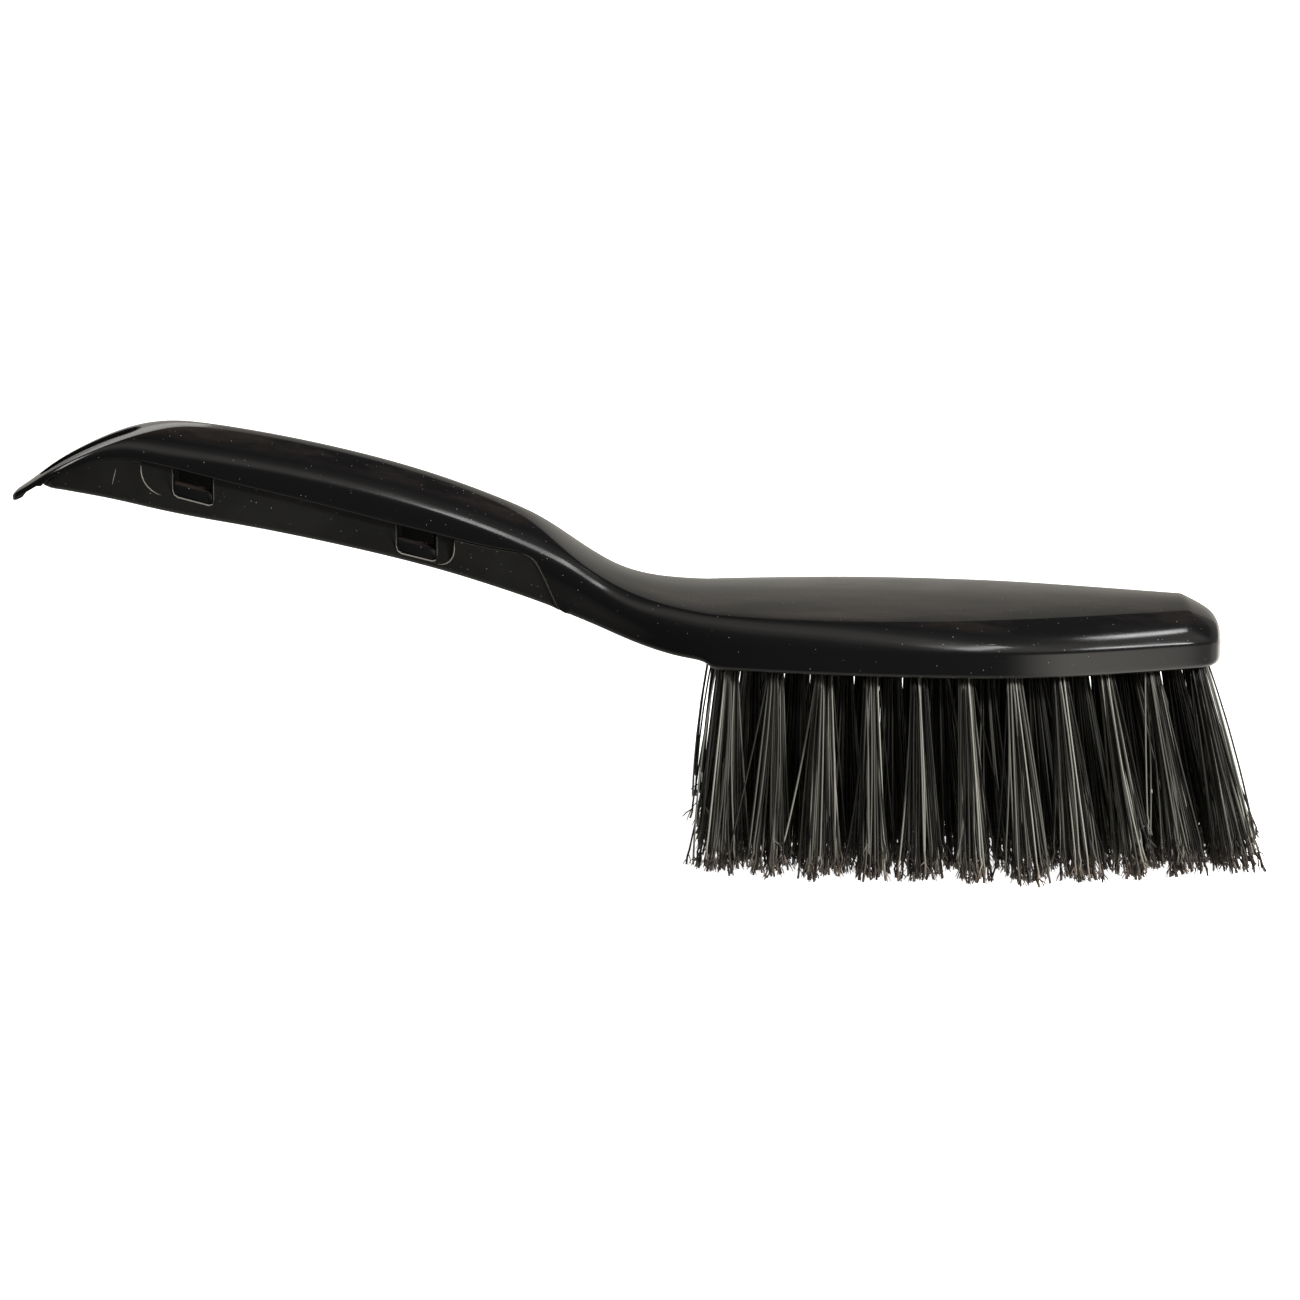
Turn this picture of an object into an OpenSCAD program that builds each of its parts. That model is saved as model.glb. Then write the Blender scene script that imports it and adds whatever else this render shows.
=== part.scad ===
// Hand wheel brush: a one-piece moulded block with a raised, hollow grip, a clip-in grip insert,
// and tufts of filament folded over wire staples in drilled holes.
// +X runs from the hanging end to the nose, +Z is up, and the bristle tips stand on z = 0.

/* [Overall] */
// Length of the moulding from hanging tip to nose
moulding_length = 290.1; // [275:0.1:305]
// Visible length of the bristles below the pad
bristle_length = 50; // [40:1:60]
// Width of the head across its widest part
head_width = 63.2; // [58:0.1:66]

/* [Grip] */
// Wall thickness of the hollow upper grip
shell_wall = 2.4; // [2:0.1:2.8]
// Wall thickness of the clip-in insert
insert_wall = 2.6; // [2.2:0.1:2.8]
// How far the insert's side sits inside the upper grip's side
insert_setback = 0.5; // [0.3:0.1:0.8]
// Gap along the parting line between upper grip and insert
parting_gap = 0.2; // [0.1:0.05:0.4]
// Depth of the recessed panel in each side of the insert
panel_depth = 0.4; // [0.2:0.1:0.6]

/* [Snap hooks] */
// Length of each window in the insert, along the grip
window_length = 9; // [7:0.5:10]
// Height of each window, from the parting line down
window_height = 7; // [6:0.5:7.5]
// Thickness of the snap tabs
tab_thickness = 1.6; // [1.2:0.1:2]
// How far each hook stands out of its tab
hook_reach = 2.3; // [1.8:0.1:2.5]

/* [Hanging slot] */
// Width of the slot through the hanging end
slot_width = 8; // [6:0.5:8.5]
// Length of the slot along the grip
slot_length = 24.5; // [20:0.5:25]

/* [Bristles] */
// Tufts along the rim of the head, on each side
rim_columns = 11; // [9:1:11]
// Diameter of the drilled tuft holes
hole_d = 4.8; // [4:0.1:5.2]
// Depth of the drilled tuft holes
hole_depth = 9.5; // [8:0.5:10]
// Diameter of a tuft where it leaves its hole
tuft_d = 4.6; // [3.8:0.1:4.6]
// Diameter of a tuft across its spread tips
tuft_tip_d = 9.4; // [8:0.1:9.8]
// Lean of the first tufts, towards the grip
lean_neck = -2; // [-4:0.5:0]
// Lean of the last tufts, towards the nose
lean_nose = 13; // [8:0.5:14]
// Sideways lean of the rim tufts
lean_rim = 3; // [0:0.5:5]

/* [Anchor staples] */
// Thickness of the flat wire
wire_thickness = 0.4; // [0.3:0.05:0.5]
// Height of a staple, along its hole
wire_height = 1.8; // [1.4:0.1:2.2]
// How far a staple bites into the block on each side of its hole
wire_bite = 0.35; // [0.2:0.05:0.5]

/* [Hidden] */
NOMINAL_LENGTH = 290.1;
NOMINAL_WIDTH = 63.2;
len_k = moulding_length / NOMINAL_LENGTH;
wid_k = head_width / NOMINAL_WIDTH;
// Half width of the room inside the insert
GRIP_LOW_W = 10.6;
insert_room_w = GRIP_LOW_W * wid_k - insert_wall;

// Cross-sections of the moulding. Columns: x, then the height of the top edge above the pad face and
// its half width, the same for the widest line, and the same for the underside.
X = 0;
TOP = 1;
TOP_W = 2;
WIDE = 3;
WIDE_W = 4;
LOW = 5;
LOW_W = 6;
STATIONS = [
    [-149.8, 37.0, 3.0, 36.2, 3.0, 34.8, 2.6],
    [-146.8, 38.7, 4.2, 37.8, 4.4, 36.7, 4.0],
    [-143.0, 41.5, 5.9, 40.5, 6.1, 38.6, 5.7],
    [-139.6, 43.8, 7.2, 42.6, 7.6, 38.6, 7.0],
    [-134.7, 46.5, 8.5, 45.0, 8.9, 38.0, 8.2],
    [-127.5, 49.8, 9.7, 47.6, 10.2, 37.0, 9.3],
    [-121.5, 51.9, 9.2, 47.6, 10.8, 35.8, 9.7],
    [-116.5, 53.1, 7.4, 47.2, 11.4, 34.7, 10.0],
    [-111.0, 53.8, 4.7, 46.6, 11.9, 33.6, 10.3],
    [-104.0, 53.5, 3.0, 46.0, 12.2, 32.3, 10.4],
    [-92.0, 51.9, 2.6, 44.3, 12.4, 30.4, 10.5],
    [-77.0, 49.1, 2.8, 41.5, 12.5, 27.6, 10.6],
    [-58.0, 44.5, 2.8, 37.0, 12.5, 23.4, 10.6],
    [-44.0, 40.0, 2.9, 32.6, 12.5, 19.7, 10.6],
    [-35.0, 36.5, 3.4, 29.2, 12.6, 16.8, 10.8],
    [-28.5, 33.7, 4.4, 26.6, 12.9, 14.7, 11.0],
    [-23.7, 30.8, 7.2, 24.2, 13.2, 13.1, 11.4],
    [-18.8, 27.0, 10.7, 21.4, 13.8, 11.4, 11.9],
    [-14.0, 23.4, 12.2, 18.4, 14.4, 9.6, 12.6],
    [-9.0, 20.0, 12.7, 15.4, 15.1, 7.7, 13.4],
    [-4.3, 17.5, 13.4, 12.9, 16.1, 5.8, 14.6],
    [0.5, 15.8, 15.1, 11.0, 17.5, 4.2, 16.3],
    [5.3, 14.6, 17.0, 9.5, 19.1, 3.0, 18.4],
    [10.0, 13.7, 18.8, 8.3, 21.0, 2.2, 20.7],
    [15.4, 13.1, 20.9, 7.2, 23.2, 1.9, 23.1],
    [17.4, 12.9, 21.5, 6.9, 24.0, 0, 24.0],
    [25.0, 12.7, 23.4, 6.6, 26.0, 0, 26.0],
    [35.0, 12.7, 25.2, 6.4, 27.7, 0, 27.7],
    [54.0, 12.7, 26.8, 6.2, 30.0, 0, 30.0],
    [73.0, 12.7, 25.6, 6.2, 31.5, 0, 31.5],
    [83.0, 12.8, 24.2, 6.2, 31.6, 0, 31.6],
    [92.0, 12.8, 22.3, 6.2, 30.8, 0, 30.8],
    [102.0, 12.8, 19.5, 6.2, 28.8, 0, 28.8],
    [112.0, 12.8, 16.5, 6.2, 25.7, 0, 25.7],
    [121.0, 12.8, 13.7, 6.2, 22.5, 0, 22.5],
    [131.0, 12.8, 10.0, 6.2, 18.9, 0, 18.9],
    [135.0, 12.0, 9.2, 6.0, 16.9, 0, 16.9],
    [138.2, 10.5, 8.4, 5.7, 14.0, 0.2, 14.0],
    [139.8, 8.4, 7.4, 5.3, 11.6, 0.9, 11.6],
    [140.3, 6.8, 6.2, 4.8, 9.8, 1.8, 9.8],
];
LAST = len(STATIONS) - 1;

// Rings of the loft are no further apart than this
RING_STEP = 5;
// Height of the crown along the middle of the top face, per unit of its half width
CROWN = 0.055;
// Angle at which the rounded side leaves the crisp top edge
EDGE_ANGLE = 25;
// Radius of the bottom corners of the moulding
LOW_R = 1.2;

// Line on which the upper grip and the insert meet, from the hanging end to the neck
PARTING = [
    [-143.0, 38.8], [-139.6, 42.4], [-134.7, 45.2], [-129.9, 47.5], [-127.5, 48.5], [-125.0, 48.3],
    [-122.7, 47.5], [-119.0, 46.8], [-111.0, 45.2], [-102.6, 43.0], [-95.6, 41.2], [-77.0, 37.0],
    [-58.0, 32.2], [-48.8, 30.0], [-40.6, 28.0], [-33.3, 26.7], [-28.7, 26.0], [-25.6, 25.0],
    [-24.1, 23.8], [-22.7, 20.7], [-21.0, 16.8], [-19.2, 12.9], [-17.7, 11.0], [-17.2, 8.0],
];
// Hollow part of the grip, and of the insert below it
HOLLOW_START = -113;
HOLLOW_END = -31;
// How far the insert's tongue reaches up inside the upper grip, and its thickness
TONGUE_RISE = 2;
TONGUE_THICKNESS = 1.1;
// Half width of the narrow hollow under the crest
CREST_ROOM_W = 6;
// Middles of the two windows on each side, and the ends of the panel around them
WINDOW_X = [-107, -53.4];
WINDOW_TILT = [14, 14.5];
PANEL_ENDS = [-118.6, -44];
PANEL_R = 5;
PANEL_DROP = 7.6;
// Middle of the hanging slot
SLOT_X = -131.6;

// Positions of the tufts
FIRST_TUFT_X = 21.9;
LAST_TUFT_X = 133.5;
RIM_INSET = 6;
LEAN_POWER = 1.4;
// Filament left between a staple and the bottom of its hole
FOLD = 1.4;
WIRE_GAP = 0.05;
TIP_CUT = 30;
ROUND = 48;

function between(a, b, t) = a + (b - a) * t;
function span_at(x, i = 0) = i >= LAST - 1 || x < STATIONS[i + 1][X] ? i : span_at(x, i + 1);
function slope_at(i, col) =
    let (a = STATIONS[max(i - 1, 0)], b = STATIONS[min(i + 1, LAST)])
    (b[col] - a[col]) / (b[X] - a[X]);

// Smooth value of one column of STATIONS at any nominal x
function at(x, col) =
    let (
        i = span_at(x),
        a = STATIONS[i],
        b = STATIONS[i + 1],
        h = b[X] - a[X],
        t = (x - a[X]) / h,
        rise = slope_at(i, col) * h,
        fall = slope_at(i + 1, col) * h
    )
    a[col] * (1 + 2 * t) * pow(1 - t, 2) + b[col] * (3 - 2 * t) * t * t
        + rise * t * pow(1 - t, 2) - fall * (1 - t) * t * t;

// Half of one cross-section, from the middle of the top round to the middle of the underside
function half_section(x, inset = 0) =
    let (
        top = at(x, TOP),
        top_w = at(x, TOP_W),
        wide = at(x, WIDE),
        wide_w = at(x, WIDE_W) - inset,
        low = at(x, LOW) + inset * 0.2,
        low_w = at(x, LOW_W) - inset,
        corner = min(LOW_R, (wide - low) / 3)
    )
    concat(
        [[0, top + CROWN * top_w], [top_w / 2, top + 0.75 * CROWN * top_w]],
        [for (k = [0:5])
            let (a = between(EDGE_ANGLE, 90, k / 5))
            [between(top_w, wide_w, (sin(a) - sin(EDGE_ANGLE)) / (1 - sin(EDGE_ANGLE))),
             between(wide, top, cos(a) / cos(EDGE_ANGLE))]],
        [for (k = [1:3])
            let (a = 90 * k / 3)
            [between(low_w, wide_w, cos(a)), between(wide, low + corner, k / 3)]],
        [for (a = [30, 60, 90])
            [low_w - corner * (1 - cos(a)), low + corner * (1 - sin(a))]]
    );

// Closed cross-section, from a half that starts in the middle of the top
function full_section(half) =
    concat(half, [for (k = [len(half) - 1:-1:1]) [-half[k][0], half[k][1]]]);

function ring_places(from, to) =
    [for (i = [0:LAST - 1])
        let (a = max(from, STATIONS[i][X]), b = min(to, STATIONS[i + 1][X]))
        if (b > a)
            let (n = ceil((b - a) / RING_STEP))
            for (k = [0:n - 1]) between(a, b, k / n),
     to];

// Solid through a row of closed cross-sections at the given places along x
module loft(places, sections) {
    n = len(sections[0]);
    points = [for (i = [0:len(places) - 1]) for (p = sections[i])
        [places[i] * len_k, p[0] * wid_k, p[1] + bristle_length]];
    last = (len(places) - 1) * n;
    walls = [for (i = [0:len(places) - 2]) for (k = [0:n - 1])
        let (m = (k + 1) % n)
        each [[i * n + k, (i + 1) * n + k, (i + 1) * n + m], [i * n + k, (i + 1) * n + m, i * n + m]]];
    caps = [[for (k = [0:n - 1]) k], [for (k = [n - 1:-1:0]) last + k]];
    polyhedron(points, concat(walls, caps), convexity = 6);
}

module moulding_form(inset = 0) {
    places = ring_places(STATIONS[0][X], STATIONS[LAST][X]);
    loft(places, [for (x = places) full_section(half_section(x, inset))]);
}

// Profile drawn in x and z, extruded across y between two distances from the middle on each side,
// or right across where the first distance is 0
module side_prism(points, outer, inner = 0) {
    for (side = inner > 0 ? [-1, 1] : [1])
        translate([0, inner > 0 ? side * (outer + inner) / 2 : 0, 0])
            rotate([90, 0, 0])
                linear_extrude(inner > 0 ? outer - inner : 2 * outer, center = true)
                    polygon([for (p = points) [p[0] * len_k, p[1] + bristle_length]]);
}

// Everything below the parting line, moved down by a gap
module below_parting(gap) {
    side_prism(
        concat(
            [for (p = PARTING) [p[0] - (p[0] > -25 ? gap : 0), p[1] - gap]],
            [[PARTING[len(PARTING) - 1][0] - gap, -10], [PARTING[0][0], -10]]
        ),
        40
    );
}

function parting_at(x, i = 0) =
    x < PARTING[i + 1][0] || i >= len(PARTING) - 2
        ? between(PARTING[i][1], PARTING[i + 1][1],
            (x - PARTING[i][0]) / (PARTING[i + 1][0] - PARTING[i][0]))
        : parting_at(x, i + 1);

// Outline between an upper line that follows one column of STATIONS and a lower one that follows another
function band(from, to, upper, upper_shift, lower, lower_shift) =
    let (places = ring_places(from, to), n = len(places))
    concat(
        [for (x = places) [x, at(x, upper) + upper_shift]],
        [for (k = [n - 1:-1:0]) [places[k], at(places[k], lower) + lower_shift]]
    );

// Hollow under the crest of the grip, wide at its mouth and narrower above
module grip_hollow() {
    mouth_w = insert_room_w + TONGUE_THICKNESS + parting_gap;
    side_prism(band(HOLLOW_START, HOLLOW_END, WIDE, 1, LOW, -4), mouth_w);
    side_prism(band(HOLLOW_START + 1, HOLLOW_END - 1, TOP, -shell_wall, WIDE, -2), CREST_ROOM_W);
}

module insert_room() {
    side_prism(band(HOLLOW_START + 3, HOLLOW_END - 3, TOP, -2, LOW, insert_wall), insert_room_w);
}

// Thin tongue along each side of the insert, which locates it inside the upper grip
module insert_tongue() {
    places = ring_places(HOLLOW_START + 1, HOLLOW_END - 1);
    n = len(places);
    side_prism(
        concat(
            [for (x = places) [x, parting_at(x) + TONGUE_RISE]],
            [for (k = [n - 1:-1:0]) [places[k], parting_at(places[k]) - 3]]
        ),
        insert_room_w + TONGUE_THICKNESS,
        insert_room_w
    );
}

module hanging_slot() {
    end_x = (slot_length - slot_width) / 2;
    translate([SLOT_X * len_k, 0, bristle_length + 25]) {
        for (side = [-1, 1])
            translate([side * end_x, 0, 0]) cylinder(d = slot_width, h = 40, $fn = ROUND);
        translate([-end_x, -slot_width / 2, 0]) cube([2 * end_x, slot_width, 40]);
    }
}

// Puts its children at a window, with z = 0 on the parting line and x along the grip
module at_window(w) {
    x = WINDOW_X[w];
    translate([x * len_k, 0, parting_at(x) + bristle_length])
        rotate([0, WINDOW_TILT[w], 0]) children();
}

// Pair of tabs that hang inside the insert, each with a ramped hook that stands in its window
module snap_tabs(w) {
    inner_w = insert_room_w - 0.3;
    length = window_length - 0.8;
    ramp_drop = 0.6 * window_height;
    foot = window_height - 0.4;
    rise = at(WINDOW_X[w], TOP) - parting_at(WINDOW_X[w]) - 1.2;
    for (side = [0, 1])
        mirror([0, side, 0])
            translate([-length / 2, 0, 0])
                rotate([90, 0, 90])
                    linear_extrude(length)
                        polygon([
                            [inner_w - tab_thickness, rise], [inner_w - tab_thickness, -foot - 0.8],
                            [inner_w - 0.4, -foot - 0.8], [inner_w + hook_reach, -foot],
                            [inner_w + hook_reach, -ramp_drop], [inner_w, -0.3], [inner_w, rise],
                        ]);
}

module window_cuts() {
    for (w = [0, 1])
        at_window(w)
            translate([-window_length / 2, -20, -window_height])
                cube([window_length, 40, window_height]);
}

// Shallow panel with rounded lower corners in both sides of the insert
module panel_cuts() {
    inner_w = at(-77, LOW_W) * wid_k - insert_setback - panel_depth;
    tilt = atan2(parting_at(PANEL_ENDS[0]) - parting_at(PANEL_ENDS[1]), PANEL_ENDS[1] - PANEL_ENDS[0]);
    run = (PANEL_ENDS[1] - PANEL_ENDS[0]) * len_k / cos(tilt);
    for (side = [0, 1])
        mirror([0, side, 0])
            translate([PANEL_ENDS[0] * len_k, inner_w, parting_at(PANEL_ENDS[0]) + bristle_length])
                rotate([0, tilt, 0])
                    for (step = [0, 1])
                        translate([step * PANEL_R, 0, -PANEL_DROP + (1 - step) * PANEL_R]) {
                            cube([run - 2 * step * PANEL_R, 5, PANEL_DROP + 2]);
                            if (step == 1)
                                for (x = [0, run - 2 * PANEL_R])
                                    translate([x, 0, PANEL_R])
                                        rotate([-90, 0, 0])
                                            cylinder(r = PANEL_R, h = 5, $fn = ROUND);
                        }
}

// Tufts: [x, y, lean along x, lean along y]
tuft_pitch = (LAST_TUFT_X - FIRST_TUFT_X) / (rim_columns - 1);
function lean_at(x) =
    between(lean_neck, lean_nose, pow((x - FIRST_TUFT_X) / (LAST_TUFT_X - FIRST_TUFT_X), LEAN_POWER));
function rim_y(x) = (at(x, LOW_W) * wid_k) - RIM_INSET;
function tuft_at(x, row) = [x * len_k, row * rim_y(x), lean_at(x), row * lean_rim];
TUFTS = concat(
    [for (k = [0:rim_columns - 1]) for (row = [-1, 0, 1]) tuft_at(FIRST_TUFT_X + k * tuft_pitch, row)],
    [for (k = [0:rim_columns - 2]) for (row = [-0.5, 0.5])
        tuft_at(FIRST_TUFT_X + (k + 0.5) * tuft_pitch, row)]
);
function tuft_name(i) = str("tuft_", i < 9 ? "0" : "", i + 1);

// Puts its children in a tuft's hole: z = 0 at the pad face, +z into the block
module in_hole(tuft) {
    translate([tuft[0], tuft[1], bristle_length])
        rotate([tuft[3], 0, 0])
            rotate([0, -tuft[2], 0]) children();
}

module staple(extra = 0) {
    width = hole_d + 2 * wire_bite;
    translate([-wire_thickness / 2 - extra, -width / 2 - extra, hole_depth - FOLD - wire_height - extra])
        cube([wire_thickness + 2 * extra, width + 2 * extra, wire_height + 2 * extra]);
}

// Room that the insert and the hollow take out of the grip, but for the snap tabs that hang in it
module grip_room() {
    difference() {
        union() {
            below_parting(0);
            grip_hollow();
        }
        for (w = [0, 1]) at_window(w) snap_tabs(w);
    }
}

module handle_block() {
    color([0.08, 0.08, 0.085])
    difference() {
        moulding_form();
        grip_room();
        hanging_slot();
        for (tuft = TUFTS)
            in_hole(tuft) {
                translate([0, 0, -4]) cylinder(d = hole_d, h = hole_depth + 4, $fn = ROUND);
                staple(WIRE_GAP);
            }
    }
}

module grip_insert() {
    color([0.11, 0.11, 0.115])
    intersection() {
        moulding_form(insert_setback);
        difference() {
            union() {
                below_parting(parting_gap);
                insert_tongue();
            }
            insert_room();
            window_cuts();
            panel_cuts();
            hanging_slot();
        }
    }
}

module anchor_staples() {
    color("silver")
    for (tuft = TUFTS) in_hole(tuft) staple();
}

// One tuft: straight in its hole, spread to its tips, trimmed level with the others
module bristle_tuft(tuft) {
    color([0.16, 0.15, 0.15])
    difference() {
        in_hole(tuft) {
            cylinder(d = tuft_d, h = hole_depth, $fn = ROUND);
            spread = (tuft_tip_d - tuft_d) / bristle_length;
            reach = bristle_length + TIP_CUT / 2;
            translate([0, 0, -reach])
                cylinder(d1 = tuft_d + spread * reach, d2 = tuft_d, h = reach, $fn = ROUND);
        }
        in_hole(tuft) staple(WIRE_GAP);
        translate([tuft[0] - TIP_CUT, tuft[1] - TIP_CUT, -TIP_CUT]) cube([2 * TIP_CUT, 2 * TIP_CUT, TIP_CUT]);
    }
}

handle_block();
grip_insert();
anchor_staples();
for (i = [0:len(TUFTS) - 1])
    bristle_tuft(TUFTS[i]);
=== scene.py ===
"""Looks of a hand wheel brush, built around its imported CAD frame.

One glossy moulding makes the head, the neck and the crest of the grip, a duller insert clips in under the
grip, and tufts of loose filament stand where the CAD model's plain tuft solids are. Lengths in this file are
in millimetres unless a name says otherwise, and meshes are turned to metres as they are made.
"""

import logging
import math
import random
from dataclasses import dataclass, fields
from enum import Enum
from typing import Any, Callable, Iterable, Sequence

import bmesh
import bpy
from bmesh.types import BMEdge, BMesh, BMVert
from bpy.types import Material, Mesh, Node, NodeSocket, NodeTree, Object, World
from mathutils import Matrix, Quaternion, Vector


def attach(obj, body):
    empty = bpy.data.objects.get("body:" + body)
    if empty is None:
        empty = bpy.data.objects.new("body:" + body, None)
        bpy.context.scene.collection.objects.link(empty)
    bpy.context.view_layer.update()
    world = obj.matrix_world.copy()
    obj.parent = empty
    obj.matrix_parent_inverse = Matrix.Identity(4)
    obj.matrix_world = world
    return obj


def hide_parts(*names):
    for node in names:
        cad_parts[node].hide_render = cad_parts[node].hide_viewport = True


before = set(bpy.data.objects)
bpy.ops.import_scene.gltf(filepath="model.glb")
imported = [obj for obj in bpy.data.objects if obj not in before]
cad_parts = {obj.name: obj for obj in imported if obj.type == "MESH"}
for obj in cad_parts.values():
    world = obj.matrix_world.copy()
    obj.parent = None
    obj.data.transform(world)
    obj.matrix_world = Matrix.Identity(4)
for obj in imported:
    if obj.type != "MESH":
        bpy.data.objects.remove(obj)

LOG = logging.getLogger("wheel_brush")
MM = 0.001
ROOT = "root"

Point = tuple[float, float]


# ---------------------------------------------------------------------------------------------- helpers


def between(a: float, b: float, t: float) -> float:
    """Returns the value a share t of the way from a to b."""
    return a + (b - a) * t


def smooth_step(t: float) -> float:
    """Returns 0 below 0, 1 above 1, and a soft S between."""
    t = min(max(t, 0.0), 1.0)
    return t * t * (3 - 2 * t)


def follow(points: Sequence[Point], x: float) -> float:
    """Reads a curve through given points, smooth at each of them.

    Args:
        points: (x, value) pairs in rising x.
        x: Where to read it. Outside the points the end value holds.

    Returns:
        The value at x.
    """
    if x <= points[0][0]:
        return points[0][1]
    if x >= points[-1][0]:
        return points[-1][1]
    i = max(k for k in range(len(points) - 1) if points[k][0] <= x)
    before, after = points[max(i - 1, 0)], points[min(i + 2, len(points) - 1)]
    a, b = points[i], points[i + 1]
    run = b[0] - a[0]
    t = (x - a[0]) / run
    rise = (b[1] - before[1]) / (b[0] - before[0]) * run
    fall = (after[1] - a[1]) / (after[0] - a[0]) * run
    return (
        a[1] * (1 + 2 * t) * (1 - t) ** 2
        + b[1] * (3 - 2 * t) * t * t
        + rise * t * (1 - t) ** 2
        - fall * (1 - t) * t * t
    )


def linear_colour(code: str) -> tuple[float, float, float, float]:
    """Turns an sRGB hex code such as "#1a1a1a" into a linear RGBA colour."""
    parts = [int(code[k:k + 2], 16) / 255 for k in (1, 3, 5)]
    linear = [c / 12.92 if c <= 0.04045 else ((c + 0.055) / 1.055) ** 2.4 for c in parts]
    return (*linear, 1.0)


def feed(node: Node, values: dict[str | int, Any]) -> Node:
    """Fills in a shader node.

    Args:
        node: The node.
        values: What each attribute or input gets, by name or number: a plain value, or the socket or node
            that feeds it. A node stands for its first output.

    Returns:
        The same node.
    """
    for key, value in values.items():
        if isinstance(value, (Node, NodeSocket)):
            source = value.outputs[0] if isinstance(value, Node) else value
            node.id_data.links.new(source, node.inputs[key])
        elif isinstance(key, str) and hasattr(node, key):
            setattr(node, key, value)
        else:
            node.inputs[key].default_value = value
    return node


def add_node(tree: NodeTree, kind: str, values: dict[str | int, Any] | None = None) -> Node:
    """Adds one shader node of a kind named without its leading "ShaderNode", and feeds it."""
    return feed(tree.nodes.new(f"ShaderNode{kind}"), values or {})


def new_piece(name: str, bm: BMesh) -> Object:
    """Makes an object at the origin from a bmesh drawn in millimetres, and frees the bmesh."""
    bm.transform(Matrix.Scale(MM, 4))
    mesh = bpy.data.meshes.new(name)
    bm.to_mesh(mesh)
    bm.free()
    piece = bpy.data.objects.new(name, mesh)
    bpy.context.scene.collection.objects.link(piece)
    return piece


def bake_modifiers(piece: Object) -> None:
    """Turns a piece's modifiers into plain mesh."""
    graph = bpy.context.evaluated_depsgraph_get()
    mesh = bpy.data.meshes.new_from_object(piece.evaluated_get(graph))
    old = piece.data
    piece.modifiers.clear()
    piece.data = mesh
    mesh.name = old.name
    bpy.data.meshes.remove(old)


def carve(piece: Object, cutter_bm: BMesh) -> None:
    """Cuts a closed shape, drawn in millimetres, out of a piece."""
    cutter = new_piece("cutter", cutter_bm)
    cut = piece.modifiers.new("cut", "BOOLEAN")
    cut.operation, cut.solver, cut.object = "DIFFERENCE", "EXACT", cutter
    bake_modifiers(piece)
    bpy.data.objects.remove(cutter)


def join(piece: Object, extra: BMesh) -> None:
    """Adds a closed shape, drawn in millimetres, to a piece."""
    extra.transform(Matrix.Scale(MM, 4))
    extra.from_mesh(piece.data)
    extra.to_mesh(piece.data)
    extra.free()


def smooth_with_edges(piece: Object, angle: float = 32.0) -> None:
    """Shades a piece smooth, but for edges that turn by more than an angle in degrees."""
    piece.data.shade_smooth()
    piece.data.set_sharp_from_angle(angle=math.radians(angle))


def place_loop(verts: Sequence[BMVert], x: float, section: Sequence[Point]) -> None:
    """Moves a loop of vertices onto a cross-section drawn in y and z."""
    for vert, (y, z) in zip(verts, section):
        vert.co = Vector((x, y, z))


def ring_edges(bm: BMesh, loop: Sequence[BMVert]) -> list[BMEdge]:
    """Edges round a closed loop of vertices."""
    return [bm.edges.get((a, b)) for a, b in zip(loop, loop[1:] + loop[:1])]


def grow_loop(bm: BMesh, loop: Sequence[BMVert]) -> list[BMVert]:
    """Extrudes a closed loop of vertices, and returns the new loop in the same order."""
    grown = bmesh.ops.extrude_edge_only(bm, edges=ring_edges(bm, loop))["geom"]
    fresh = {item for item in grown if isinstance(item, BMVert)}
    return [next(e.other_vert(v) for e in v.link_edges if e.other_vert(v) in fresh) for v in loop]


def loft(bm: BMesh, places: Sequence[float], sections: Sequence[Sequence[Point]]) -> None:
    """Builds a closed skin by extruding one loop from cross-section to cross-section along x.

    Args:
        bm: The bmesh it is added to.
        places: Position of each cross-section along x.
        sections: Closed outlines in y and z, all with the same number of points.
    """
    loop = bmesh.ops.create_circle(bm, cap_ends=True, segments=len(sections[0]), radius=1.0)["verts"]
    place_loop(loop, places[0], sections[0])
    for x, section in zip(places[1:], sections[1:]):
        loop = grow_loop(bm, loop)
        place_loop(loop, x, section)
    bmesh.ops.edgeloop_fill(bm, edges=ring_edges(bm, loop))
    bmesh.ops.recalc_face_normals(bm, faces=bm.faces)


def sides_of(path: Sequence[Vector]) -> tuple[Vector, Vector]:
    """Returns two directions square to a path as a whole and to each other."""
    down = (path[-1] - path[0]).normalized()
    across = down.cross(Vector((0, 1, 0))).normalized()
    return across, down.cross(across)


def sweep(bm: BMesh, path: Sequence[Vector], radii: Sequence[float], sides: int = 8) -> None:
    """Adds a closed round bead along a path.

    Args:
        bm: The bmesh it is added to.
        path: Middle of each ring.
        radii: Radius of each ring.
        sides: Sides of each ring.
    """
    across, over = sides_of(path)
    loop = bmesh.ops.create_circle(bm, cap_ends=True, segments=sides, radius=1.0)["verts"]
    flat = [vert.co.copy() for vert in loop]
    faces = {face for vert in loop for face in vert.link_faces}
    for number, (middle, radius) in enumerate(zip(path, radii)):
        if number:
            loop = grow_loop(bm, loop)
            faces.update(face for vert in loop for face in vert.link_faces)
        for vert, place in zip(loop, flat):
            vert.co = middle + (across * place.x + over * place.y) * radius
    faces.update(bmesh.ops.edgeloop_fill(bm, edges=ring_edges(bm, loop))["faces"])
    bmesh.ops.recalc_face_normals(bm, faces=list(faces))


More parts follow.
